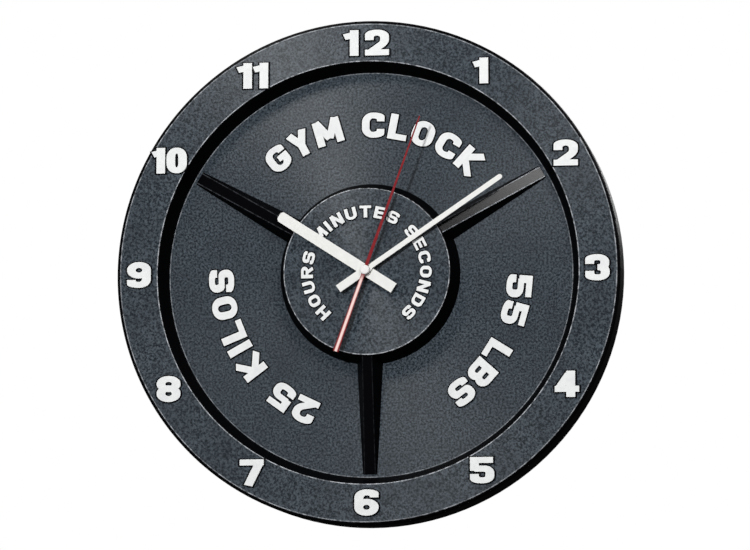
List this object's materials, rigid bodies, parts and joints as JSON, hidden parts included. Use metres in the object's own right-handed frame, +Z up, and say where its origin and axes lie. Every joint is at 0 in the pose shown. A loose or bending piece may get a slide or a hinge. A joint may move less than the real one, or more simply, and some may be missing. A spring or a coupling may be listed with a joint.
{
  "type": "wall clock",
  "caption": "Round wall clock shaped like a black barbell plate, with raised numerals, a raised hub, sloping ribs, hands and a battery quartz movement.",
  "frame": {"origin": "centre of the hanger keyhole's round hole, on the wall plane", "axes": "+Y into the wall, +X to the right of someone who looks at the face, +Z up"},
  "size_m": [0.356, 0.0426, 0.356],
  "materials": {
    "plate_black": "fine moulded texture",
    "letter_white": "satin",
    "hand_white": "satin paint",
    "hand_red": "gloss paint",
    "cap_pale": "gloss",
    "zinc_steel": "zinc plated",
    "black_metal": "black finish",
    "bush_brass": "machined",
    "case_black": "moulded",
    "gear_natural": "moulded",
    "gear_amber": "moulded",
    "board_green": "solder mask",
    "epoxy_black": "cured resin",
    "coil_copper": "enamelled wire",
    "soft_iron": "punched sheet",
    "magnet_grey": "sintered",
    "battery_jacket": "printed sleeve",
    "pad_rubber": "matt"
  },
  "bodies": {
    "clock": {"plate_shell": "plate_black", "lettering_pads": "plate_black", "hour_numerals": "letter_white", "plate_lettering": "letter_white", "hub_lettering": "letter_white", "hanger_plate": "zinc_steel", "hanger_screws": "zinc_steel", "gasket": "pad_rubber", "movement_case": "case_black", "threaded_bush": "bush_brass", "front_washer": "black_metal", "hex_nut": "black_metal", "mid_plate": "gear_natural", "rotor_bridge": "gear_natural", "rear_cover": "case_black", "circuit_board": "board_green", "chip": "epoxy_black", "quartz_crystal": "zinc_steel", "stator": "soft_iron", "coil_core": "soft_iron", "coil_bobbin": "case_black", "coil_winding": "coil_copper", "positive_contact": "zinc_steel", "negative_contact": "zinc_steel"},
    "second_body": {"second_wheel": "gear_natural", "second_arbor": "zinc_steel", "second_hand": "hand_red", "second_cap": "cap_pale"},
    "rotor_body": {"rotor_magnet": "magnet_grey", "rotor_pinion": "gear_natural"},
    "intermediate_body": {"intermediate_wheel": "gear_natural"},
    "third_body": {"third_wheel": "gear_amber"},
    "centre_body": {"centre_wheel": "gear_natural"},
    "minute_body": {"cannon_pinion": "bush_brass", "clutch_spring": "zinc_steel", "minute_hand": "hand_white"},
    "minute_pin_body": {"minute_pin": "zinc_steel"},
    "minute_wheel_body": {"minute_wheel": "gear_amber"},
    "hour_washer_body": {"hour_washer": "zinc_steel"},
    "hour_body": {"hour_wheel": "gear_amber", "hour_hand": "hand_white"},
    "setting_pin_body": {"setting_pin": "zinc_steel"},
    "knob_body": {"setting_knob": "gear_natural"},
    "battery_body": {"battery": "battery_jacket"}
  },
  "joints": [
    {"name": "second_spin", "type": "hinge", "parent": "clock", "child": "second_body", "pos_m": [0, -0.02, -0.112], "axis": [0, 1, 0], "continuous": true},
    {"name": "intermediate_spin", "type": "hinge", "parent": "clock", "child": "intermediate_body", "pos_m": [-0.00624, -0.02, -0.1084], "axis": [0, 1, 0], "continuous": true},
    {"name": "rotor_spin", "type": "hinge", "parent": "clock", "child": "rotor_body", "pos_m": [-0.01313, -0.02, -0.10718], "axis": [0, 1, 0], "continuous": true},
    {"name": "third_spin", "type": "hinge", "parent": "clock", "child": "third_body", "pos_m": [0.00656, -0.02, -0.10419], "axis": [0, 1, 0], "continuous": true},
    {"name": "centre_spin", "type": "hinge", "parent": "clock", "child": "centre_body", "pos_m": [0, -0.02, -0.112], "axis": [0, 1, 0], "continuous": true},
    {"name": "minute_pin_spin", "type": "hinge", "parent": "clock", "child": "minute_pin_body", "pos_m": [0.00752, -0.02, -0.11474], "axis": [0, 1, 0], "continuous": true},
    {"name": "hour_washer_spin", "type": "hinge", "parent": "clock", "child": "hour_washer_body", "pos_m": [0, -0.02, -0.112], "axis": [0, 1, 0], "continuous": true},
    {"name": "setting_pin_spin", "type": "hinge", "parent": "clock", "child": "setting_pin_body", "pos_m": [0.01579, -0.02, -0.11619], "axis": [0, 1, 0], "continuous": true},
    {"name": "hand_setting", "type": "hinge", "parent": "centre_body", "child": "minute_body", "pos_m": [0, -0.02, -0.112], "axis": [0, 1, 0], "continuous": true},
    {"name": "minute_wheel_spin", "type": "hinge", "parent": "minute_pin_body", "child": "minute_wheel_body", "pos_m": [0.00752, -0.02, -0.11474], "axis": [0, 1, 0], "continuous": true},
    {"name": "hour_spin", "type": "hinge", "parent": "hour_washer_body", "child": "hour_body", "pos_m": [0, -0.02, -0.112], "axis": [0, 1, 0], "continuous": true},
    {"name": "knob_spin", "type": "hinge", "parent": "setting_pin_body", "child": "knob_body", "pos_m": [0.01579, -0.02, -0.11619], "axis": [0, 1, 0], "continuous": true},
    {"name": "battery_slide", "type": "slide", "parent": "clock", "child": "battery_body", "axis": [0, 1, 0], "range_m": [0, 0.02]}
  ],
  "couplings": [
    {"joint": "intermediate_spin", "follows": "second_spin", "ratio": -5},
    {"joint": "rotor_spin", "follows": "second_spin", "ratio": 30},
    {"joint": "third_spin", "follows": "second_spin", "ratio": -0.13333},
    {"joint": "centre_spin", "follows": "second_spin", "ratio": 0.016667},
    {"joint": "minute_pin_spin", "follows": "second_spin", "ratio": -0.0055556},
    {"joint": "hour_washer_spin", "follows": "second_spin", "ratio": 0.0013889},
    {"joint": "setting_pin_spin", "follows": "second_spin", "ratio": 0.013889},
    {"joint": "minute_wheel_spin", "follows": "hand_setting", "ratio": -0.33333},
    {"joint": "hour_spin", "follows": "hand_setting", "ratio": 0.083333},
    {"joint": "knob_spin", "follows": "hand_setting", "ratio": 0.83333}
  ]
}
